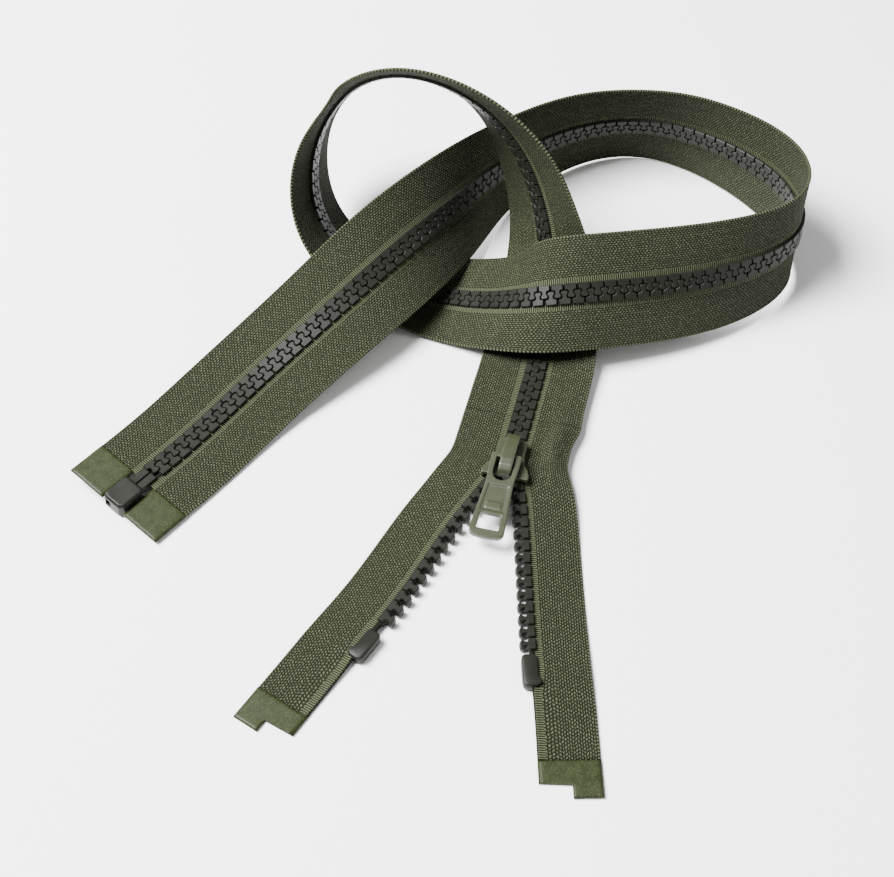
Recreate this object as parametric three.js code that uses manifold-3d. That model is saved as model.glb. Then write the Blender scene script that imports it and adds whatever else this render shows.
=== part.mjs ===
// Open-end moulded-tooth zipper lying in loose loops, partly opened by its slider.
// Units are millimetres, +Z is up, and the zipper lies on the plane z = 0.
// The origin is on the slider's underside, below the point where the two rows of teeth part.
//
// Every strip of the zipper follows one route: a uniform cubic B-spline through hand-placed
// stations [x, y, z, roll]. The route is the middle line of the closed chain, and roll (degrees)
// turns the strip about it: at 0 the front face is up, at 180 the back face is up.
// Across the route, w is positive on the left tape's side and negative on the right tape's side.
import * as THREE from "three";
import { mergeVertices } from "three/addons/utils/BufferGeometryUtils.js";
import Module from "manifold-3d";

const wasm = await Module();
wasm.setup();

// Driving dimensions
const gap = 0.3;                 // clearance between neighbouring pieces
const tapeEdge = 16;             // outer edge of each tape from the chain's middle line
const tapeHalf = 0.35;           // half the tape's thickness
const filmHalf = 0.45;           // half the thickness of a tape end sealed in film
const rowEdge = 2.6;             // outer side of a row of teeth
const rowHalf = 1.3;             // half the chain's thickness
const toothPitch = 3.64;         // tooth to tooth along one row
const toothLength = 2.3;         // each tooth along the row
const headReach = 1.0;           // how far an open tooth's head reaches past the middle line
const cordEdge = 1.2;            // the tape's inner edge where it carries no teeth
const chainHeight = 2.85;        // middle of the chain above the slider's underside
const sliderYaw = 14.2;          // heading of the slider, degrees from -Y towards -X
const releaseRun = 16;           // closed chain that the slider can open from where it stands
const boxLength = 8.2;           // retainer box along the chain
const pinsEnd = 13.4;            // how far both pins reach from the tape's cut end
const boxFilm = 11;              // film at the box end, along the tape
const tailFilm = 9.5;            // film at each open end, along the tape
const filmNotch = 3.8;           // step in the film's end beside the cord
const stopLength = 9;            // top stop along the row
const stopHalf = 1.4;            // half the top stop's thickness
const stopToFilm = 18.5;         // bare tape between the top stop and the film
const strideClosed = 6;          // spacing of the cross-sections on the closed run
const strideTail = 5;            // spacing of the cross-sections on the open tails

const tapeInner = rowEdge + gap;
const rowInner = gap / 2;
const rad = THREE.MathUtils.degToRad;

const heading = new THREE.Vector3(-Math.sin(rad(sliderYaw)), -Math.cos(rad(sliderYaw)), 0);

// Stations of the closed run, from the box end to the slider.
const boxRun = [[-103.5, -14, 3, 173], [-94.1, -2.9, 3, 173], [-84.7, 8.1, 3, 173],
  [-70.5, 27, 4.3, 170], [-51.5, 44, 11.5, 167], [-33, 62, 17.8, 151], [-15.6, 83, 17.8, 124]];
const outerLoop = [[0.4, 104.2, 16.5, 97], [20.5, 119.4, 17, 83], [45.5, 126, 16, 75],
  [68.5, 113, 17, 89], [87, 93, 17, 98], [86.6, 67, 19, 87]];
const crossRun = [[62.5, 55, 18, 65], [36.5, 49, 19.3, 52], [9.5, 45, 20.5, 40]];
const innerLoop = [[-6.5, 59, 2.2, 8], [-31.5, 67, 0.7, -5], [-53.5, 77, 9.8, -30]];
const arch = [[-58.9, 96, 26, -84], [-46.5, 110.6, 44, -157], [-23.5, 101.6, 54.4, -139],
  [-0.5, 89, 48, -121]];
const descent = [[11.5, 78, 27, -84], [13.5, 61, 6.7, -25]];
// Distances from the parting point, back up the straight chain that the slider runs on.
const sliderRun = [[38, -3], [28, 0], [20, 0], [12, 0], [5, 0], [0, 0], [-2.5, 0]].map(
  ([back, roll]) => [-back * heading.x, -back * heading.y, chainHeight, roll]);
const closedStations = [...boxRun, ...outerLoop, ...crossRun, ...innerLoop, ...arch, ...descent,
  ...sliderRun];
const leftStations = [[-3.6, -5.9, 2.85, 0], [-7.7, -11.7, 2.7, -4], [-15, -22, 2, -5],
  [-21.4, -34.1, 1.6, -3.5], [-28.9, -46.6, 1.5, -3.5], [-37.4, -58.8, 2.1, -3], [-41.5, -64.8, 0.6, 0],
  [-47.7, -73.9, 0.5, 0], [-53.9, -83, 0.5, 0]];
const rightStations = [[0.7, -6.8, 2.85, 0], [1.4, -13.6, 2.7, 4], [1.7, -26, 1.9, 5],
  [1.9, -39, 1.6, 3.5], [2.1, -51, 1.5, 3.5], [2.5, -66, 2.1, 3], [3, -73.2, 0.6, 0],
  [3.2, -84.2, 0.5, 0], [3.4, -95.2, 0.5, 0]];

const palette = {
  tape: { color: 0x4f5839, roughness: 0.9, metalness: 0 },
  film: { color: 0x55603a, roughness: 0.35, metalness: 0 },
  tooth: { color: 0x474a40, roughness: 0.5, metalness: 0 },
  paint: { color: 0x5d6446, roughness: 0.4, metalness: 0.3 },
  steel: { color: 0x8d8f8a, roughness: 0.35, metalness: 1 },
};

// Routes

const samplesPerSpan = 24;

// Weights of four neighbouring stations at fraction t of a span, and their slopes.
function splineWeights(t) {
  const s = 1 - t;
  return [s * s * s, 3 * t * t * t - 6 * t * t + 4, 3 * s * s * s - 6 * s * s + 4, t * t * t]
    .map((weight) => weight / 6);
}

function splineSlopes(t) {
  return [-(1 - t) * (1 - t), 3 * t * t - 4 * t, 1 + 2 * t - 3 * t * t, t * t]
    .map((slope) => slope / 2);
}

function blendStations(stations, first, weights) {
  return [0, 1, 2, 3].map((axis) =>
    weights.reduce((sum, weight, i) => sum + weight * stations[first + i][axis], 0));
}

function crossFrame(point, slope, roll) {
  const along = new THREE.Vector3(slope[0], slope[1], slope[2]).normalize();
  const level = new THREE.Vector3().crossVectors(along, new THREE.Vector3(0, 0, 1)).normalize();
  const upward = new THREE.Vector3().crossVectors(level, along);
  const across = level.multiplyScalar(Math.cos(rad(roll)))
    .addScaledVector(upward, Math.sin(rad(roll)));
  const normal = new THREE.Vector3().crossVectors(across, along);
  return { point, along, across, normal };
}

// A route gives a frame at any arc length, and the arc length at each station.
function makeRoute(stations) {
  const last = stations.length - 1;
  const mirror = (end, next) => end.map((value, axis) => 2 * value - next[axis]);
  const padded = [mirror(stations[0], stations[1]), ...stations,
    mirror(stations[last], stations[last - 1])];
  const frames = [];
  const lengths = [];
  for (let i = 0; i <= last * samplesPerSpan; i += 1) {
    const span = Math.min(Math.floor(i / samplesPerSpan), last - 1);
    const t = i / samplesPerSpan - span;
    const [x, y, z, roll] = blendStations(padded, span, splineWeights(t));
    const slope = blendStations(padded, span, splineSlopes(t));
    const point = new THREE.Vector3(x, y, z);
    lengths.push(i === 0 ? 0 : lengths[i - 1] + point.distanceTo(frames[i - 1].point));
    frames.push({ point, slope, roll });
  }
  const frameAt = (length) => {
    let i = 1;
    while (i < lengths.length - 1 && lengths[i] < length) i += 1;
    const t = (length - lengths[i - 1]) / (lengths[i] - lengths[i - 1]);
    const a = frames[i - 1];
    const b = frames[i];
    const slope = a.slope.map((value, axis) => value + t * (b.slope[axis] - value));
    return crossFrame(a.point.clone().lerp(b.point, t), slope, a.roll + t * (b.roll - a.roll));
  };
  return { frameAt, lengthAtStation: (i) => lengths[i * samplesPerSpan], end: lengths.at(-1) };
}

const leftRoute = makeRoute([...closedStations, ...leftStations]);
const rightRoute = makeRoute([...closedStations, ...rightStations]);
const partingStation = closedStations.length - 2;
const parting = leftRoute.lengthAtStation(partingStation);
const release = parting - releaseRun;

const sides = {
  left: { route: leftRoute, sign: 1 },
  right: { route: rightRoute, sign: -1 },
};

// Solids

// Sweeps the outline sectionAt(length) -> [[w, n], ...] through the given arc lengths.
function sweep(route, stops, sectionAt) {
  const positions = [];
  stops.forEach((stop) => {
    const { point, across, normal } = route.frameAt(stop);
    sectionAt(stop).forEach(([w, n]) => {
      const p = point.clone().addScaledVector(across, w).addScaledVector(normal, n);
      positions.push(p.x, p.y, p.z);
    });
  });
  const count = sectionAt(stops[0]).length;
  const index = [];
  for (let i = 0; i < stops.length - 1; i += 1) {
    for (let j = 0; j < count; j += 1) {
      const a = i * count + j;
      const b = i * count + ((j + 1) % count);
      index.push(a, b, b + count, a, b + count, a + count);
    }
  }
  const far = (stops.length - 1) * count;
  for (let j = 1; j < count - 1; j += 1) {
    index.push(0, j + 1, j, far, far + j, far + j + 1);
  }
  const geometry = new THREE.BufferGeometry();
  geometry.setAttribute("position", new THREE.Float32BufferAttribute(positions, 3));
  geometry.setIndex(index);
  return geometry;
}

// Rectangle across the route from w = near to w = far on one side.
function strip(sign, near, far, half) {
  const corners = [[near, -half], [far, -half], [far, half], [near, half]];
  return sign > 0 ? corners.map(([w, n]) => [w, n]).reverse() : corners.map(([w, n]) => [-w, n]);
}

function evenStops(from, to, stride) {
  const steps = Math.max(1, Math.round((to - from) / stride));
  return Array.from({ length: steps + 1 }, (_, i) => from + ((to - from) * i) / steps);
}

function toManifold(geometry) {
  const bare = geometry.clone();
  bare.deleteAttribute("normal");
  bare.deleteAttribute("uv");
  const merged = mergeVertices(bare, 1e-4);
  return new wasm.Manifold(new wasm.Mesh({
    numProp: 3,
    vertProperties: new Float32Array(merged.attributes.position.array),
    triVerts: new Uint32Array(merged.index.array),
  }));
}

function toGeometry(solid) {
  const mesh = solid.getMesh();
  const geometry = new THREE.BufferGeometry();
  geometry.setAttribute("position", new THREE.BufferAttribute(mesh.vertProperties, 3));
  geometry.setIndex(new THREE.BufferAttribute(mesh.triVerts, 1));
  return geometry;
}

// Extrudes a plan outline from z = low to z = high.
function slab(shape, low, high) {
  const options = { depth: high - low, bevelEnabled: false, curveSegments: 6 };
  return toManifold(new THREE.ExtrudeGeometry(shape, options).translate(0, 0, low));
}

function block(x0, x1, y0, y1, z0, z1) {
  const box = new THREE.BoxGeometry(x1 - x0, y1 - y0, z1 - z0);
  return toManifold(box.translate((x0 + x1) / 2, (y0 + y1) / 2, (z0 + z1) / 2));
}

function piece(name, geometry, look) {
  const mesh = new THREE.Mesh(geometry, new THREE.MeshStandardMaterial(palette[look]));
  mesh.name = name;
  return mesh;
}

// Closed run: each strip is cut where the route changes from run to loop.

function closedRun(group) {
  const counts = [boxRun, outerLoop, crossRun, innerLoop, arch].map((part) => part.length);
  const names = ["box_run", "outer_loop", "cross_run", "inner_loop", "arch", "slider_run"];
  let station = 0;
  let tapeFrom = boxFilm + gap;
  let teethFrom = pinsEnd + gap;
  names.forEach((name, i) => {
    station += counts[i] ?? 0;
    const to = (i < counts.length ? leftRoute.lengthAtStation(station) : release) - gap;
    Object.entries(sides).forEach(([side, { route, sign }]) => {
      const tape = sweep(route, evenStops(tapeFrom, to, strideClosed),
        () => strip(sign, tapeInner, tapeEdge, tapeHalf));
      const teeth = sweep(route, evenStops(teethFrom, to, strideClosed),
        () => strip(sign, rowInner, rowEdge, rowHalf));
      group.add(piece(`${side}_tape_${name}`, tape, "tape"));
      group.add(piece(`${side}_teeth_${name}`, teeth, "tooth"));
    });
    tapeFrom = to + gap;
    teethFrom = to + gap;
  });
}

// Box end: film-sealed tape ends, retainer box, and the two pins that it holds together.

function boxEnd(group) {
  Object.entries(sides).forEach(([side, { route, sign }]) => {
    const film = sweep(route, [0, boxFilm], () => strip(sign, 3.9, tapeEdge, filmHalf));
    group.add(piece(`${side}_box_end_film`, film, "film"));
    const name = side === "left" ? "retainer_pin" : "insertion_pin";
    const pin = sweep(route, [1.6, pinsEnd], () => strip(sign, rowInner, 2.35, 1.25));
    group.add(piece(name, pin, "tooth"));
  });
  group.add(retainerBox());
}

function boxPlan(inset) {
  const half = 3.6 - inset;
  const shape = new THREE.Shape();
  shape.moveTo(-0.2 + inset, -half + 1);
  shape.lineTo(1, -half);
  shape.lineTo(boxLength - 1.2, -half);
  shape.lineTo(boxLength - inset, -half + 0.5);
  shape.lineTo(boxLength - inset, half - 0.5);
  shape.lineTo(boxLength - 1.2, half);
  shape.lineTo(1, half);
  shape.lineTo(-0.2 + inset, half - 1);
  return shape;
}

function retainerBox() {
  const shell = wasm.Manifold.hull([slab(boxPlan(0), -1.9, 1.9), slab(boxPlan(0.6), -2.5, 2.5)]);
  const socket = block(1.2, boxLength + 1, -2.65, 2.65, -1.55, 1.55);
  const window = block(-1, 2, -2.4, -0.7, -1.1, 1.1);
  const solid = shell.subtract(socket).subtract(window);
  const { point, along, across, normal } = leftRoute.frameAt(0);
  const box = piece("retainer_box", toGeometry(solid), "tooth");
  box.applyMatrix4(new THREE.Matrix4().makeBasis(along, across.negate(), normal)
    .setPosition(point));
  return box;
}

// Open tails: tape, row of separate teeth on its cord, top stop and film end.

function tailRow(route, sign, from, to) {
  const ramp = 0.25;
  const plainTo = parting + 6.8;
  const stops = [...evenStops(from, plainTo, 3), plainTo + ramp];
  const edges = [];
  for (let start = plainTo + 1.2; start + toothLength < to; start += toothPitch) {
    edges.push([start, start + toothLength]);
    stops.push(start, start + ramp, start + toothLength - ramp, start + toothLength);
  }
  stops.push(to);
  const isTooth = (length) =>
    edges.some(([start, stop]) => length > start + ramp / 2 && length < stop - ramp / 2);
  return sweep(route, stops, (length) => {
    if (length <= plainTo) return strip(sign, rowInner, rowEdge, rowHalf);
    if (isTooth(length)) return strip(sign, -headReach, rowEdge, rowHalf);
    return strip(sign, 1.5, rowEdge, 0.6);
  });
}

function topStop(route, sign, from) {
  const to = from + stopLength;
  const section = (length) =>
    strip(sign, length < from + 2 || length > to - 2 ? 0 : -0.9, rowEdge, stopHalf);
  return sweep(route, [from, from + 1.6, from + 2.4, to - 3, to - 1.6, to], section);
}

function tail(side) {
  const { route, sign } = sides[side];
  const filmFrom = route.end - tailFilm;
  const stopFrom = filmFrom - stopToFilm - stopLength;
  const stopTo = stopFrom + stopLength;
  const tapeStops = [...evenStops(release, stopTo, strideTail), stopTo + gap,
    ...evenStops(stopTo + 5, filmFrom - gap, strideTail)];
  const tape = sweep(route, tapeStops,
    (length) => strip(sign, length > stopTo ? cordEdge : tapeInner, tapeEdge, tapeHalf));
  const notchFrom = route.end - filmNotch;
  const film = sweep(route, [filmFrom, notchFrom, notchFrom + gap, route.end],
    (length) => strip(sign, length > notchFrom ? 9 : cordEdge, tapeEdge, filmHalf));
  const group = new THREE.Group();
  group.add(piece(`${side}_tail_tape`, tape, "tape"));
  group.add(piece(`${side}_tail_film`, film, "film"));
  group.add(piece(`${side}_tail_teeth`, tailRow(route, sign, release, stopFrom - gap), "tooth"));
  group.add(piece(`${side}_top_stop`, topStop(route, sign, stopFrom), "tooth"));
  return group;
}

// Slider, in its own frame: +X towards the open tails, +Y to the right tape, z = 0 mid-chain.

const plateTop = chainHeight;
const channelHalf = rowHalf + 0.35;
const slotHalf = tapeHalf + gap;
const capHalfWidth = 1.8;
const pivot = { x: 1.4, z: 4.55 };
const pullTilt = 4.5;            // degrees that the pull hangs below level at rest
const pullSide = -0.4;           // the pull's side play on the cap, taken up to the left

// Closes a half outline by its mirror image in y.
function mirroredShape(half) {
  const outline = [...half, ...half.map(([x, y]) => [x, -y]).reverse()];
  return new THREE.Shape(outline.map(([x, y]) => new THREE.Vector2(x, y)));
}

function sliderBody() {
  const plan = mirroredShape([[-6.5, 3.2], [-6, 3.75], [-1, 3.85], [1, 4.3], [3, 5.5], [4.5, 6.2],
    [5.5, 6.4], [6.3, 6.1]]);
  const channel = mirroredShape([[-7, 2.9], [0.5, 2.95], [2.5, 3.35], [4.5, 4.35], [7, 6.2]]);
  const wedge = mirroredShape([[2.3, 0.02], [4, 0.7], [5.3, 1.15], [5.9, 0.7], [6.1, 0.2]]);
  return slab(plan, -plateTop, plateTop)
    .subtract(slab(channel, -channelHalf, channelHalf))
    .subtract(block(-8, 8, -8, 8, -slotHalf, slotHalf))
    .add(slab(wedge, -2, 2))
    .subtract(block(-2.4, -0.8, -0.6, 0.6, 1, 4));
}

// Side outline in x and z, extruded across the slider between y = -half and y = half.
function sideSlab(outline, half) {
  const shape = new THREE.Shape(outline.map(([x, z]) => new THREE.Vector2(x, z)));
  const solid = new THREE.ExtrudeGeometry(shape, { depth: 2 * half, bevelEnabled: false });
  return toManifold(solid.translate(0, 0, -half).rotateX(Math.PI / 2));
}

function sliderCap() {
  const foot = plateTop + gap;
  return sideSlab([[-6.5, foot], [-6.5, 4.5], [-5.8, 5.5], [-4, 6.2], [-1, 6.4], [3, 6.45],
    [5, 6.1], [6.3, 5.2], [6.8, 4.2], [6.8, foot], [5.6, foot], [5.3, 4.6], [4.2, 5.4],
    [3, 5.6], [-2.4, 5.6], [-3.6, 5.1], [-3.8, foot]], capHalfWidth);
}

function lockPawl() {
  return block(-3.3, -0.2, -1.1, 1.1, 3.3, 4.5).add(block(-2.1, -1.1, -0.3, 0.3, 1.7, 3.5));
}

function pullTab() {
  const thick = 0.7;
  const tabEnd = 25.6;
  const plan = new THREE.Shape();
  plan.moveTo(-0.2, -3.95);
  plan.lineTo(3, -3.95);
  plan.bezierCurveTo(5, -3.95, 7, -3.6, 9, -3.65);
  plan.lineTo(23.3, -4.6);
  plan.quadraticCurveTo(tabEnd - 0.3, -4.5, tabEnd - 0.2, -2.4);
  plan.quadraticCurveTo(tabEnd + 0.2, 0, tabEnd - 0.2, 2.4);
  plan.quadraticCurveTo(tabEnd - 0.3, 4.5, 23.3, 4.6);
  plan.lineTo(9, 3.65);
  plan.bezierCurveTo(7, 3.6, 5, 3.95, 3, 3.95);
  plan.lineTo(-0.2, 3.95);
  plan.quadraticCurveTo(-0.7, 3.9, -0.7, 3.4);
  plan.lineTo(-0.7, -3.4);
  plan.quadraticCurveTo(-0.7, -3.9, -0.2, -3.95);
  const eye = new THREE.Shape();
  eye.moveTo(0.7, -2.5);
  eye.lineTo(5.6, -2.5);
  eye.bezierCurveTo(8.6, -2.4, 8.6, 2.4, 5.6, 2.5);
  eye.lineTo(0.7, 2.5);
  const panel = mirroredShape([[9.5, 2.7], [17.5, 3.2]]);
  const window = mirroredShape([[18.4, 2.75], [23.1, 2.95]]);
  const recess = thick - 0.3;
  return slab(plan, -thick, thick)
    .subtract(slab(eye, -2, 2))
    .subtract(slab(window, -2, 2))
    .subtract(slab(panel, recess, 2))
    .subtract(slab(panel, -2, -recess))
    .add(block(14.7, 16.6, -2, 2, -recess - 0.15, recess + 0.15));
}

function slider() {
  const group = new THREE.Group();
  group.add(piece("slider_body", toGeometry(sliderBody()), "paint"));
  group.add(piece("slider_cap", toGeometry(sliderCap()), "paint"));
  group.add(piece("lock_pawl", toGeometry(lockPawl()), "steel"));
  group.add(piece("pawl_spring", toGeometry(block(-3.2, -0.1, -0.9, 0.9, 5.05, 5.25)), "steel"));
  const tab = piece("pull_tab", toGeometry(pullTab()), "paint");
  tab.position.set(pivot.x, pullSide, pivot.z);
  tab.rotation.y = rad(pullTilt);
  group.add(tab);
  group.position.set(0, 0, chainHeight);
  group.rotation.z = -rad(90 + sliderYaw);
  return group;
}

const zipper = new THREE.Group();
boxEnd(zipper);
closedRun(zipper);
zipper.add(tail("left"), tail("right"), slider());

export default zipper;
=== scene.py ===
"""Looks of an open-end moulded-tooth zipper lying in loose loops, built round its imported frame.

Everything is in metres in the frame's own axes. The strips follow the same spline routes as the
frame: stations (x, y, z, roll) give the middle line of the closed chain, in millimetres and degrees.
Across a route, w is positive on the left tape's side; n is the height above the chain's middle.
"""
import math

import bmesh
import bpy
import numpy as np
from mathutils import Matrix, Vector


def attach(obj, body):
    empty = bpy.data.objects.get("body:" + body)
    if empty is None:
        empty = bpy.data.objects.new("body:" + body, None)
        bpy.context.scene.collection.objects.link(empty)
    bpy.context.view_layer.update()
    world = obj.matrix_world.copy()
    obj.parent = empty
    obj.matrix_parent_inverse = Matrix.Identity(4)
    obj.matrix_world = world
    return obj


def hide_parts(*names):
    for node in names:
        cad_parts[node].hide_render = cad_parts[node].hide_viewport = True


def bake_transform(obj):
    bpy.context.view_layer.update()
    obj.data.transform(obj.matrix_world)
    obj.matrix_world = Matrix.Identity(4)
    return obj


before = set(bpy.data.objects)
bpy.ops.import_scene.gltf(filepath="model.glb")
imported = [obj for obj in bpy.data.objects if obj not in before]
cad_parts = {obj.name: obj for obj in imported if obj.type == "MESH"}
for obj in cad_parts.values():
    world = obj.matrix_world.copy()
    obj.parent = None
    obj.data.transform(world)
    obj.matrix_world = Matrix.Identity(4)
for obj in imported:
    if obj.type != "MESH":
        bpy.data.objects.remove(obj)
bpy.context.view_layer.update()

MM = 0.001

# Driving dimensions, in millimetres
TAPE_EDGE = 16.0
TAPE_HALF = 0.35
FILM_HALF = 0.45
TOOTH_PITCH = 3.64
CORD_EDGE = 1.2
CHAIN_HEIGHT = 2.85
SLIDER_YAW = 14.2
RELEASE_RUN = 16.0
PINS_END = 13.4
BOX_FILM = 11.0
TAIL_FILM = 9.5
FILM_NOTCH = 3.8
STOP_LENGTH = 9.0
STOP_TO_FILM = 18.5
BLEND_LENGTH = 8.0
BOX_FILM_EDGE = 3.9
NOTCH_EDGE = 9.0
TAPE_STEP = 0.9
CAST_VOXEL = 0.13
NEVER = 1e6

HEADING = np.array([-math.sin(math.radians(SLIDER_YAW)), -math.cos(math.radians(SLIDER_YAW))])

CLOSED_STATIONS = [
    (-103.5, -14, 3, 173), (-94.1, -2.9, 3, 173), (-84.7, 8.1, 3, 173), (-70.5, 27, 4.3, 170),
    (-51.5, 44, 11.5, 167), (-33, 62, 17.8, 151), (-15.6, 83, 17.8, 124), (0.4, 104.2, 16.5, 97),
    (20.5, 119.4, 17, 83), (45.5, 126, 16, 75), (68.5, 113, 17, 89), (87, 93, 17, 98),
    (86.6, 67, 19, 87), (62.5, 55, 18, 65), (36.5, 49, 19.3, 52), (9.5, 45, 20.5, 40),
    (-6.5, 59, 2.2, 8), (-31.5, 67, 0.7, -5), (-53.5, 77, 9.8, -30), (-58.9, 96, 26, -84),
    (-46.5, 110.6, 44, -157), (-23.5, 101.6, 54.4, -139), (-0.5, 89, 48, -121), (11.5, 78, 27, -84),
    (13.5, 61, 6.7, -25)]
# Distances from the parting point, back up the straight chain that the slider runs on.
SLIDER_RUN = [(38, -3), (28, 0), (20, 0), (12, 0), (5, 0), (0, 0), (-2.5, 0)]
LEFT_STATIONS = [
    (-3.6, -5.9, 2.85, 0), (-7.7, -11.7, 2.7, -4), (-15, -22, 2, -5), (-21.4, -34.1, 1.6, -3.5),
    (-28.9, -46.6, 1.5, -3.5), (-37.4, -58.8, 2.1, -3), (-41.5, -64.8, 0.6, 0), (-47.7, -73.9, 0.5, 0),
    (-53.9, -83, 0.5, 0)]
RIGHT_STATIONS = [
    (0.7, -6.8, 2.85, 0), (1.4, -13.6, 2.7, 4), (1.7, -26, 1.9, 5), (1.9, -39, 1.6, 3.5),
    (2.1, -51, 1.5, 3.5), (2.5, -66, 2.1, 3), (3, -73.2, 0.6, 0), (3.2, -84.2, 0.5, 0),
    (3.4, -95.2, 0.5, 0)]
CLOSED_STATIONS += [(-back * HEADING[0], -back * HEADING[1], CHAIN_HEIGHT, roll)
                    for back, roll in SLIDER_RUN]


class Route:
    """A uniform cubic B-spline with a frame at any arc length, in millimetres."""

    SAMPLES = 24

    def __init__(self, stations):
        points = np.array(stations, float)
        padded = np.vstack([2 * points[0] - points[1], points, 2 * points[-1] - points[-2]])
        spans = len(points) - 1
        t = np.arange(spans * self.SAMPLES + 1) / self.SAMPLES
        span = np.minimum(t.astype(int), spans - 1)
        t = (t - span)[:, None]
        near = [padded[span + i] for i in range(4)]
        weights = [(1 - t) ** 3, 3 * t ** 3 - 6 * t ** 2 + 4,
                   3 * (1 - t) ** 3 - 6 * (1 - t) ** 2 + 4, t ** 3]
        slopes = [-(1 - t) ** 2, 3 * t ** 2 - 4 * t, 1 + 2 * t - 3 * t ** 2, t ** 2]
        self.values = sum(w * p for w, p in zip(weights, near)) / 6
        self.slopes = sum(w * p for w, p in zip(slopes, near))[:, :3] / 2
        steps = np.linalg.norm(np.diff(self.values[:, :3], axis=0), axis=1)
        self.lengths = np.concatenate([[0], np.cumsum(steps)])
        self.end = self.lengths[-1]

    def at_station(self, index):
        return self.lengths[index * self.SAMPLES]

    def frames(self, s):
        """Point, along, across and normal at each arc length of s."""
        s = np.atleast_1d(np.asarray(s, float))
        pick = lambda table: np.stack([np.interp(s, self.lengths, c) for c in table.T], 1)
        values = pick(self.values)
        along = pick(self.slopes)
        along /= np.linalg.norm(along, axis=1, keepdims=True)
        level = np.cross(along, [0, 0, 1])
        level /= np.linalg.norm(level, axis=1, keepdims=True)
        upward = np.cross(level, along)
        roll = np.radians(values[:, 3])[:, None]
        across = level * np.cos(roll) + upward * np.sin(roll)
        return values[:, :3], along, across, np.cross(across, along)

    def place(self, s, w, n):
        """Row-frame points in metres at arc length s, w across and n above."""
        point, _, across, normal = self.frames(s)
        w = np.asarray(w, float)[:, None]
        n = np.asarray(n, float)[:, None]
        return (point + across * w + normal * n) * MM


LEFT = Route(CLOSED_STATIONS + LEFT_STATIONS)
RIGHT = Route(CLOSED_STATIONS + RIGHT_STATIONS)
SIDES = {"left": (LEFT, 1), "right": (RIGHT, -1)}
PARTING = LEFT.at_station(len(CLOSED_STATIONS) - 2)
RELEASE = PARTING - RELEASE_RUN
RUNS = ["box_run", "outer_loop", "cross_run", "inner_loop", "arch", "slider_run"]


def route_point(s):
    """A point of the closed chain's middle line, in metres."""
    return tuple(LEFT.place([s], [0], [0])[0])


# --- camera, floor and light -------------------------------------------------------------------

def make_camera():
    focal_px, width_px, sensor_mm = 1530, 894, 36
    camera = bpy.data.cameras.new("camera")
    camera.lens = sensor_mm * focal_px / width_px
    camera.sensor_width = sensor_mm
    camera.clip_start = 0.01
    obj = bpy.data.objects.new("camera", camera)
    obj.location = (-0.0165, -0.2508, 0.3233)
    obj.rotation_euler = (math.radians(39), 0, 0)
    bpy.context.collection.objects.link(obj)
    bpy.context.scene.camera = obj


def make_floor():
    mesh = bpy.data.meshes.new("floor")
    reach = 4.0
    mesh.from_pydata([(-reach, -reach, 0), (reach, -reach, 0), (reach, reach, 0),
                      (-reach, reach, 0)], [], [(0, 1, 2, 3)])
    floor = bpy.data.objects.new("floor", mesh)
    bpy.context.collection.objects.link(floor)
    floor.data.materials.append(plain("floor_white", (0.93, 0.93, 0.925), 0.9))


def make_light(name, location, target, size, power):
    light = bpy.data.lights.new(name, "AREA")
    light.size = size
    light.energy = power
    obj = bpy.data.objects.new(name, light)
    obj.location = location
    direction = Vector(target) - Vector(location)
    obj.rotation_euler = direction.to_track_quat("-Z", "Y").to_euler()
    bpy.context.collection.objects.link(obj)


def make_lights():
    middle = (-0.01, 0.02, 0.0)
    make_light("key", (-0.63, 0.06, 0.95), middle, 0.6, 80)
    make_light("side", (0.9, 0.1, 0.7), middle, 0.9, 4)
    world = bpy.data.worlds.new("studio")
    world.use_nodes = True
    world.node_tree.nodes["Background"].inputs["Color"].default_value = (1, 1, 1, 1)
    world.node_tree.nodes["Background"].inputs["Strength"].default_value = 0.36
    bpy.context.scene.world = world


# --- materials ---------------------------------------------------------------------------------

def shader(name, roughness, metallic=0.0, specular=0.5, coat=0.0):
    material = bpy.data.materials.new(name)
    material.use_nodes = True
    bsdf = material.node_tree.nodes["Principled BSDF"]
    bsdf.inputs["Roughness"].default_value = roughness
    bsdf.inputs["Metallic"].default_value = metallic
    bsdf.inputs["Specular IOR Level"].default_value = specular
    bsdf.inputs["Coat Weight"].default_value = coat
    return material, bsdf


def plain(name, color, roughness):
    material, bsdf = shader(name, roughness)
    bsdf.inputs["Base Color"].default_value = (*color, 1)
    return material


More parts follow.
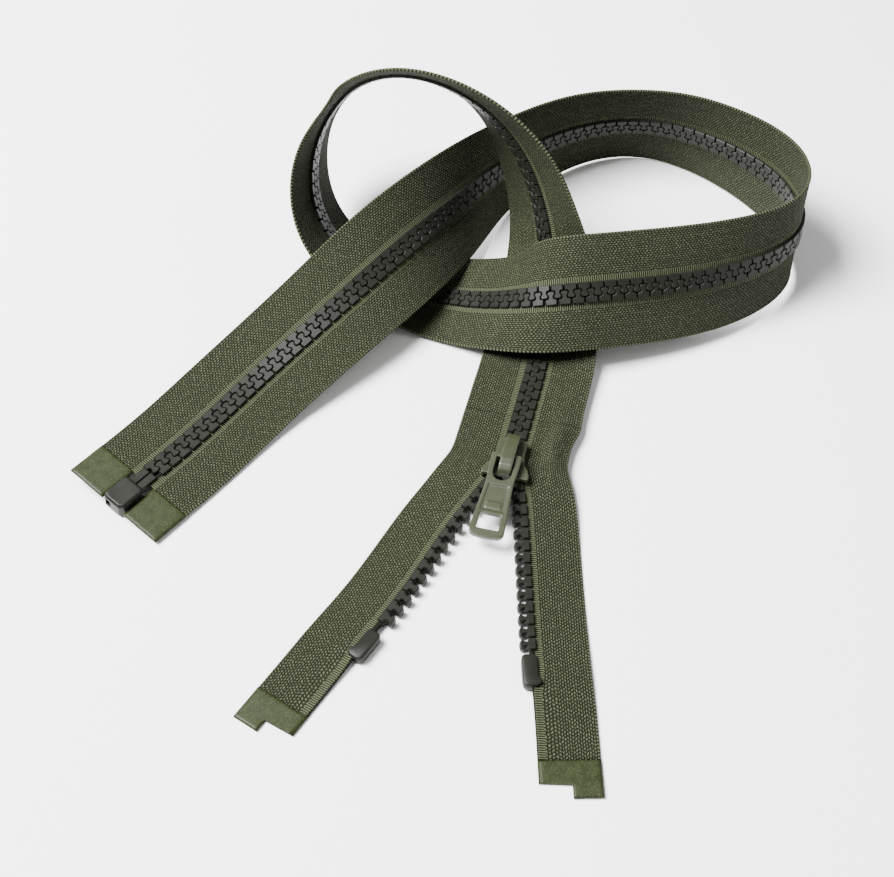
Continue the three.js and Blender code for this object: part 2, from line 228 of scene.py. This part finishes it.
class Graph:
    """Short calls for wiring a material's nodes."""

    def __init__(self, material):
        self.tree = material.node_tree
        self.nodes = self.tree.nodes

    def add(self, kind, inputs=None, **settings):
        node = self.nodes.new(kind)
        for key, value in settings.items():
            setattr(node, key, value)
        for key, value in (inputs or {}).items():
            self.set(node.inputs[key], value)
        return node

    def set(self, socket, value):
        if isinstance(value, bpy.types.NodeSocket):
            self.tree.links.new(value, socket)
        else:
            socket.default_value = value

    def math(self, operation, *values, clamp=False):
        node = self.add("ShaderNodeMath", operation=operation, use_clamp=clamp)
        for socket, value in zip(node.inputs, values):
            self.set(socket, value)
        return node.outputs[0]

    def smooth(self, value, low, high):
        """0 below low, 1 above high, smooth between."""
        node = self.add("ShaderNodeMapRange", interpolation_type="SMOOTHSTEP")
        for key, entry in (("Value", value), ("From Min", low), ("From Max", high)):
            self.set(node.inputs[key], entry)
        return node.outputs["Result"]

    def noise(self, vector, scale, detail=2.0, roughness=0.5):
        node = self.add("ShaderNodeTexNoise", {"Vector": vector, "Scale": scale,
                                               "Detail": detail, "Roughness": roughness})
        return node.outputs["Fac"]

    def mix(self, factor, a, b):
        node = self.add("ShaderNodeMix", data_type="RGBA")
        self.set(node.inputs["Factor"], factor)
        for key, value in (("A", a), ("B", b)):
            socket = [i for i in node.inputs if i.name == key and i.type == "RGBA"][0]
            self.set(socket, value if isinstance(value, bpy.types.NodeSocket) else (*value, 1))
        return [o for o in node.outputs if o.type == "RGBA"][0]

    def bump(self, height, distance, strength=1.0):
        return self.add("ShaderNodeBump", {"Height": height, "Distance": distance,
                                           "Strength": strength}).outputs["Normal"]


# Near-black painted shade for the gaps between stitches and for the tape under and between the teeth.
PAINTED_GAP_SHADE = (0.003, 0.0036, 0.0015)
THREAD_DARK = (0.0365, 0.0425, 0.0205)
THREAD_LIGHT = (0.059, 0.067, 0.0365)
RIB_LIGHT = (0.07, 0.078, 0.043)


def tape_material():
    """Woven tape, with painted shade in the weave's gaps and on the strip beside the teeth. The UV map
    holds arc length and width in millimetres.
    """
    material, bsdf = shader("woven_tape", 0.85, specular=0.12)
    g = Graph(material)
    uv = g.add("ShaderNodeUVMap", uv_map="strip").outputs["UV"]
    split = g.add("ShaderNodeSeparateXYZ", {"Vector": uv})
    along, across = split.outputs["X"], split.outputs["Y"]
    # Slanted stitches in a loose herringbone: the lean turns back every 1.2 mm of width.
    lean = g.math("MULTIPLY", g.math("PINGPONG", across, 1.24), 0.9)
    cell_x = g.math("DIVIDE", g.math("ADD", along, lean), 0.95)
    cell_y = g.math("DIVIDE", across, 0.62)
    place = g.add("ShaderNodeCombineXYZ", {"X": cell_x, "Y": cell_y}).outputs["Vector"]
    cells = dict(Vector=place, Scale=1.0, Randomness=0.3)
    edge = g.add("ShaderNodeTexVoronoi", cells, feature="DISTANCE_TO_EDGE").outputs["Distance"]
    tone = g.add("ShaderNodeTexVoronoi", cells, feature="F1").outputs["Color"]
    tone = g.add("ShaderNodeSeparateXYZ", {"Vector": tone}).outputs["X"]
    stitch = g.smooth(edge, 0.07, 0.34)
    # Fine cross ribs in the strip beside the teeth, and the looped selvedge.
    rib_wave = g.math("PINGPONG", along, 0.3)
    rib = g.smooth(rib_wave, 0.06, 0.22)
    rib_mask = g.math("MULTIPLY", g.smooth(across, 4.5, 4.2), g.smooth(across, 2.5, 2.8))
    loops = g.smooth(g.math("PINGPONG", along, 0.45), 0.1, 0.3)
    hem_mask = g.smooth(across, 15.35, 15.55)
    height = g.add("ShaderNodeMix", {"Factor": rib_mask, "A": stitch, "B": rib}).outputs[0]
    height = g.add("ShaderNodeMix", {"Factor": hem_mask, "A": height, "B": loops}).outputs[0]
    thread = g.mix(tone, THREAD_DARK, THREAD_LIGHT)
    thread = g.mix(g.math("MULTIPLY", rib_mask, 0.5), thread, RIB_LIGHT)
    thread = g.mix(g.math("MULTIPLY", hem_mask, 0.35), thread, RIB_LIGHT)
    # Painted shade: the weave's gaps and the tape within about 2.4–2.8 mm of the cord, where the teeth
    # stand over it, take the near-black shade colour.
    shade = g.math("MULTIPLY", height, g.smooth(across, 2.4, 2.8))
    g.set(bsdf.inputs["Base Color"], g.mix(shade, PAINTED_GAP_SHADE, thread))
    g.set(bsdf.inputs["Normal"], g.bump(height, 0.00018, 0.9))
    return material


def film_material():
    """Tape sealed in clear film: the weave shows faintly through a satin, lightly creased face."""
    material, bsdf = shader("tape_film", 0.45, specular=0.12, coat=0.03)
    g = Graph(material)
    uv = g.add("ShaderNodeUVMap", uv_map="strip").outputs["UV"]
    blotch = g.noise(uv, 0.45, 4, 0.6)
    weave = g.noise(uv, 2.2, 2, 0.5)
    cloudy = g.mix(g.smooth(blotch, 0.35, 0.7), (0.0115, 0.0155, 0.0045), (0.017, 0.0225, 0.0075))
    g.set(bsdf.inputs["Base Color"], g.mix(g.smooth(weave, 0.5, 0.7), cloudy, (0.027, 0.033, 0.014)))
    g.set(bsdf.inputs["Roughness"], g.math("ADD", 0.35, g.math("MULTIPLY", blotch, 0.25)))
    height = g.math("ADD", g.math("MULTIPLY", blotch, 0.6), g.math("MULTIPLY", weave, 0.4))
    g.set(bsdf.inputs["Normal"], g.bump(height, 0.00012, 0.6))
    return material


def plastic_material(name, color, roughness):
    """Moulded plastic: faint grain, slightly uneven gloss."""
    material, bsdf = shader(name, roughness, specular=0.15)
    g = Graph(material)
    place = g.add("ShaderNodeTexCoord").outputs["Object"]
    cloud = g.noise(place, 260, 3)
    grain = g.noise(place, 2600, 2)
    lighter = tuple(c * 1.35 for c in color)
    darker = tuple(c * 0.75 for c in color)
    g.set(bsdf.inputs["Base Color"], g.mix(cloud, darker, lighter))
    g.set(bsdf.inputs["Roughness"], g.math("ADD", roughness - 0.1, g.math("MULTIPLY", cloud, 0.2)))
    g.set(bsdf.inputs["Normal"], g.bump(grain, 0.00004, 0.5))
    return material


def lacquer_material(name):
    """Olive lacquer on die-cast zinc: satin, with fine orange peel, and convex edges painted lighter as
    wear and highlight.
    """
    material, bsdf = shader(name, 0.42, specular=0.35, coat=0.3)
    bsdf.inputs["Coat Roughness"].default_value = 0.12
    g = Graph(material)
    place = g.add("ShaderNodeTexCoord").outputs["Object"]
    cloud = g.noise(place, 180, 3)
    peel = g.noise(place, 1500, 2)
    edge = g.add("ShaderNodeNewGeometry").outputs["Pointiness"]
    # Painted highlight and wear: convex edges (high pointiness), broken up by noise, are mixed halfway
    # towards a light olive.
    edge_wear_and_highlight = g.math("MULTIPLY", g.smooth(edge, 0.53, 0.62), g.smooth(g.noise(place, 900, 3), 0.35, 0.6))
    base = g.mix(cloud, (0.018, 0.0215, 0.0095), (0.029, 0.0335, 0.0165))
    g.set(bsdf.inputs["Base Color"], g.mix(g.math("MULTIPLY", edge_wear_and_highlight, 0.5), base, (0.13, 0.14, 0.095)))
    g.set(bsdf.inputs["Roughness"], g.math("ADD", 0.3, g.math("MULTIPLY", cloud, 0.2)))
    g.set(bsdf.inputs["Normal"], g.bump(peel, 0.00005, 0.5))
    return material


def steel_material():
    material, bsdf = shader("spring_steel", 0.35, metallic=1.0)
    g = Graph(material)
    place = g.add("ShaderNodeTexCoord").outputs["Object"]
    streak = g.noise(place, 1200, 2)
    g.set(bsdf.inputs["Base Color"], g.mix(streak, (0.35, 0.35, 0.34), (0.6, 0.6, 0.58)))
    g.set(bsdf.inputs["Normal"], g.bump(streak, 0.00003, 0.4))
    return material


# --- meshes ------------------------------------------------------------------------------------

def mesh_object(name, points, faces, material, uvs=None):
    mesh = bpy.data.meshes.new(name)
    mesh.from_pydata([tuple(p) for p in points], [], faces)
    if uvs is not None:
        layer = mesh.uv_layers.new(name="strip")
        corners = np.empty(len(mesh.loops), dtype=np.int32)
        mesh.loops.foreach_get("vertex_index", corners)
        layer.data.foreach_set("uv", np.asarray(uvs, np.float32)[corners].ravel())
    mesh.polygons.foreach_set("use_smooth", [True] * len(mesh.polygons))
    mesh.materials.append(material)
    obj = bpy.data.objects.new(name, mesh)
    bpy.context.collection.objects.link(obj)
    return obj


def face_outward(obj):
    bm = bmesh.new()
    bm.from_mesh(obj.data)
    bmesh.ops.recalc_face_normals(bm, faces=bm.faces)
    bm.to_mesh(obj.data)
    bm.free()


# --- tapes -------------------------------------------------------------------------------------

def tape_profile(inner):
    """Closed outline (w, n) of a tape's cross-section from its cord edge to its selvedge."""
    cord = [(inner + 0.6 - 0.6 * math.cos(a), 0.62 * math.sin(a))
            for a in np.linspace(0, 0.72 * math.pi, 5)]
    flat = [(w, TAPE_HALF * (1 + 0.1 * math.cos(w * 2.4))) for w in np.linspace(inner + 1.6, 15.2, 12)]
    hem = [(15.6, TAPE_HALF * 1.25), (15.9, TAPE_HALF * 0.8)]
    top = cord + flat + hem
    tip = [(TAPE_EDGE, 0.0)]
    under = [(w, -n) for w, n in reversed(top) if n > 1e-6]
    return np.array(top + tip + under)


def buckle(route, sign, s, w, n):
    """Ripples: the right tape rises in an arch beside the slider, and the edges wave a little."""
    share = np.clip((w - 2.9) / 13.1, 0, 1)
    ripple = 0.22 * np.sin(s / 9.5 + 1.3 * sign) * np.sin(s / 23.0 + 0.4) * share ** 2
    n = n + ripple
    if sign < 0:
        share = np.clip((w - 7.0) / 9.0, 0, 1)
        hump = np.exp(-((s - PARTING + 7.0) / 8.5) ** 2)
        n = n + 2.4 * hump * np.sin(np.pi * share) ** 2
        bulge = np.exp(-((s - PARTING + 14.0) / 5.0) ** 2)
        w = w + (0.9 * bulge - 1.4 * hump) * share
    return w, n


def relax(points, stops, widths):
    """Evens out the tape's free side along its length where the open tail turns away."""
    smooth = points.copy()
    for _ in range(70):
        smooth[1:-1] = (smooth[:-2] + 2 * smooth[1:-1] + smooth[2:]) / 4
    near = np.exp(-((stops - PARTING - 1.0) / 13.0) ** 4)[:, None, None]
    share = np.clip((widths - 4.0) / 8.0, 0, 1)[None, :, None]
    return points + (smooth - points) * near * share


def make_tape(name, side, start, stop, inner, bare_from=NEVER):
    """A woven tape; past bare_from, where no teeth hide it, the ribbed strip reaches the cord."""
    route, sign = SIDES[side]
    profile = tape_profile(inner)
    count = len(profile)
    stops = np.linspace(start, stop, int((stop - start) / TAPE_STEP) + 1)
    s = np.repeat(stops, count)
    w = np.tile(profile[:, 0], len(stops))
    n = np.tile(profile[:, 1], len(stops))
    # Past bare_from the width in the UV map grows by up to 1.1 mm, so the ribs and the painted shade
    # band move towards the cord where no teeth stand.
    bare = np.clip((s - bare_from) / 6, 0, 1) * np.clip((7 - w) / 4, 0, 1)
    uvs = np.stack([s, w + 1.1 * bare], 1)
    w, n = buckle(route, sign, s, w, n)
    points = route.place(s, w * sign, n).reshape(len(stops), count, 3)
    points = relax(points, stops, profile[:, 0]).reshape(-1, 3)
    faces = [(i * count + j, i * count + (j + 1) % count,
              (i + 1) * count + (j + 1) % count, (i + 1) * count + j)
             for i in range(len(stops) - 1) for j in range(count)]
    faces.append(tuple(range(count)))
    faces.append(tuple(len(points) - 1 - j for j in range(count)))
    obj = mesh_object(name, points, faces, MATERIALS["tape"], uvs)
    for cap in obj.data.polygons[-2:]:
        cap.use_smooth = False
    face_outward(obj)
    return obj


def make_film(name, side, start, stop, inner, notch=None):
    """A tape end sealed in film, with a step cut out of its inner corner where notch is given."""
    route, sign = SIDES[side]
    across = 14
    stops = np.linspace(start, stop, 21)
    s, w, n, rows = [], [], [], []
    for level in (1, -1):
        for i, length in enumerate(stops):
            edge = notch[1] if notch and length > notch[0] else inner
            for j in range(across + 1):
                s.append(length)
                w.append(edge + (TAPE_EDGE - edge) * j / across)
                rim = 0.6 if j in (0, across) or i in (0, len(stops) - 1) else 1.0
                n.append(level * FILM_HALF * rim * (1 + 0.05 * math.sin(7 * length + 3 * j)))
    s, w, n = map(np.array, (s, w, n))
    uvs = np.stack([s, w], 1)
    w, n = buckle(route, sign, s, w, n)
    points = route.place(s, w * sign, n)
    wide = across + 1
    sheet = len(stops) * wide
    faces = []
    for i in range(len(stops) - 1):
        for j in range(across):
            a = i * wide + j
            faces.append((a, a + 1, a + wide + 1, a + wide))
            faces.append((sheet + a, sheet + a + wide, sheet + a + wide + 1, sheet + a + 1))
        for j in (0, across):
            a = i * wide + j
            faces.append((a, a + wide, sheet + a + wide, sheet + a))
    for i in (0, len(stops) - 1):
        for j in range(across):
            a = i * wide + j
            faces.append((a, a + 1, sheet + a + 1, sheet + a))
    obj = mesh_object(name, points, faces, MATERIALS["film"], uvs)
    face_outward(obj)
    return obj


# --- teeth -------------------------------------------------------------------------------------

def tooth_outline():
    """Outline (s, w) of one tooth seen from its face: body on the tape, neck, and rounded head."""
    half = [(1.5, 2.9), (1.66, 2.72), (1.68, 1.42), (1.5, 1.16), (0.9, 1.1), (0.72, 0.86),
            (0.66, 0.42), (0.86, 0.12), (1.06, -0.14), (1.12, -0.46), (1.0, -0.78),
            (0.7, -1.0), (0.28, -1.08)]
    return half + [(-s, w) for s, w in reversed(half)]


def inset(outline, distance):
    points = np.array(outline)
    before = points - np.roll(points, 1, 0)
    after = np.roll(points, -1, 0) - points
    normals = np.stack([before[:, 1] + after[:, 1], -before[:, 0] - after[:, 0]], 1)
    normals /= np.linalg.norm(normals, axis=1, keepdims=True)
    return points - normals * distance


def inward(outline, distance):
    """The outline moved inwards, whichever way round its points run."""
    x, y = np.array(outline).T
    turning = np.sum(x * np.roll(y, -1) - y * np.roll(x, -1))
    return inset(outline, distance if turning > 0 else -distance)


TOOTH_EDGE = [(-1.3, 0.24), (-1.18, 0.1), (-0.95, 0.05), (-0.5, 0.0), (-0.2, -0.1)]
STOP_EDGE = [(-1.4, 0.5), (-1.28, 0.18), (-1.05, 0.0)]


def make_moulded(name, side, centres, outline, edge):
    """Repeats one moulded outline; edge pairs a height with how far the outline steps in there."""
    route, sign = SIDES[side]
    count = len(outline)
    layers = edge + [(-level, step_in) for level, step_in in reversed(edge)]
    rings = [inward(outline, d) for _, d in layers]
    s = np.concatenate([ring[:, 0] + centre for centre in centres for ring in rings])
    w = np.concatenate([ring[:, 1] for _ in centres for ring in rings])
    n = np.concatenate([np.full(count, level) for _ in centres for level, _ in layers])
    points = rigid_places(route, centres, s, w * sign, n, count * len(layers))
    faces = []
    for k in range(len(centres)):
        base = k * count * len(layers)
        for i in range(len(layers) - 1):
            for j in range(count):
                a = base + i * count + j
                b = base + i * count + (j + 1) % count
                faces.append((a, b, b + count, a + count))
        faces.append(tuple(base + j for j in reversed(range(count))))
        top = base + (len(layers) - 1) * count
        faces.append(tuple(top + j for j in range(count)))
    obj = mesh_object(name, points, faces, MATERIALS["tooth"])
    face_outward(obj)
    obj.data.set_sharp_from_angle(angle=math.radians(40))
    return obj


def make_teeth(name, side, centres):
    return make_moulded(name, side, centres, tooth_outline(), TOOTH_EDGE)


def make_stop(name, side, centre):
    """Top stop: a rounded block over the end of the row, with a foot on the tape."""
    outline = [(-4.4, 0.4), (-4.3, -0.3), (-3.7, -0.85), (-2.5, -0.95), (2.4, -0.95), (3.6, -0.8),
               (4.3, -0.2), (4.45, 0.8), (4.35, 2.3), (3.9, 3.2), (3.2, 3.7), (2.4, 3.6), (1.8, 2.95),
               (-3.6, 2.9), (-4.3, 2.5)]
    return make_moulded(name, side, [centre], outline, STOP_EDGE)


def rigid_places(route, centres, s, w, n, each):
    """Places whole teeth: every point takes the frame at its own tooth's centre."""
    point, along, across, normal = (np.repeat(v, each, 0) for v in route.frames(centres))
    offset = s - np.repeat(centres, each)
    return (point + along * offset[:, None] + across * w[:, None] + normal * n[:, None]) * MM


# --- pieces recast from the frame ---------------------------------------------------------------

def recast(name, node, material, rounds=6):
    """A cast or moulded piece: the frame's solid with its edges softened."""
    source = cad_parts[node]
    obj = bpy.data.objects.new(name, source.data.copy())
    bpy.context.collection.objects.link(obj)
    obj.data.materials.clear()
    obj.data.materials.append(material)
    remesh = obj.modifiers.new("remesh", "REMESH")
    remesh.mode = "VOXEL"
    remesh.voxel_size = CAST_VOXEL * MM
    soften = obj.modifiers.new("soften", "SMOOTH")
    soften.iterations = rounds
    soften.factor = 0.5
    evaluated = obj.evaluated_get(bpy.context.evaluated_depsgraph_get())
    mesh = bpy.data.meshes.new_from_object(evaluated)
    obj.modifiers.clear()
    obj.data = mesh
    mesh.polygons.foreach_set("use_smooth", [True] * len(mesh.polygons))
    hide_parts(node)
    return obj


# --- assembly ----------------------------------------------------------------------------------

MATERIALS = {
    "tape": tape_material(),
    "film": film_material(),
    "tooth": plastic_material("moulded_tooth", (0.0078, 0.0086, 0.0064), 0.42),
    "lacquer": lacquer_material("olive_lacquer"),
    "steel": steel_material(),
}


def closed_run(side):
    tape = make_tape(f"{side}_tape", side, BOX_FILM, RELEASE, CORD_EDGE)
    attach(tape, "chain")
    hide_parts(*[f"{side}_tape_{run}" for run in RUNS])
    first = PINS_END + 1.6 + (0 if side == "left" else TOOTH_PITCH / 2)
    centres = np.arange(first, RELEASE - 0.2, TOOTH_PITCH)
    teeth = make_teeth(f"{side}_teeth", side, centres)
    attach(teeth, "chain")
    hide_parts(*[f"{side}_teeth_{run}" for run in RUNS])
    film = make_film(f"{side}_box_film", side, 0, BOX_FILM, BOX_FILM_EDGE)
    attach(film, "chain")
    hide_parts(f"{side}_box_end_film")
    return centres[-1] + TOOTH_PITCH


def tail(side, first_tooth):
    route, _ = SIDES[side]
    body = f"{side}_tail"
    film_from = route.end - TAIL_FILM
    stop_from = film_from - STOP_TO_FILM - STOP_LENGTH
    bend = dict(start=route_point(RELEASE), end=route_point(RELEASE + BLEND_LENGTH))
    bare_from = stop_from + STOP_LENGTH / 2
    tape = make_tape(f"{side}_open_tape", side, RELEASE, film_from, CORD_EDGE, bare_from)
    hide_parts(f"{side}_tail_tape")
    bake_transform(tape)
    teeth = make_teeth(f"{side}_open_teeth", side, np.arange(first_tooth, stop_from - 1.4, TOOTH_PITCH))
    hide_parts(f"{side}_tail_teeth")
    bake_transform(teeth)
    film = make_film(f"{side}_open_film", side, film_from, route.end, CORD_EDGE,
                     notch=(route.end - FILM_NOTCH, NOTCH_EDGE))
    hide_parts(f"{side}_tail_film")
    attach(film, body)
    stop = make_stop(f"{side}_stop", side, stop_from + STOP_LENGTH / 2)
    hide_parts(f"{side}_top_stop")
    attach(stop, body)


def box_parts():
    for node in ("retainer_box", "retainer_pin", "insertion_pin"):
        part = recast(f"{node}_cast", node, MATERIALS["tooth"])
        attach(part, "chain")


def slider_parts():
    for node, rounds in (("slider_body", 8), ("slider_cap", 40)):
        part = recast(f"{node}_cast", node, MATERIALS["lacquer"], rounds=rounds)
        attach(part, "slider")
    pull = recast("pull_cast", "pull_tab", MATERIALS["lacquer"])
    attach(pull, "pull")
    for node in ("lock_pawl", "pawl_spring"):
        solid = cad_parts[node]
        solid.data.materials.clear()
        solid.data.materials.append(MATERIALS["steel"])


make_camera()
make_floor()
make_lights()
for side in SIDES:
    tail(side, closed_run(side))
box_parts()
slider_parts()
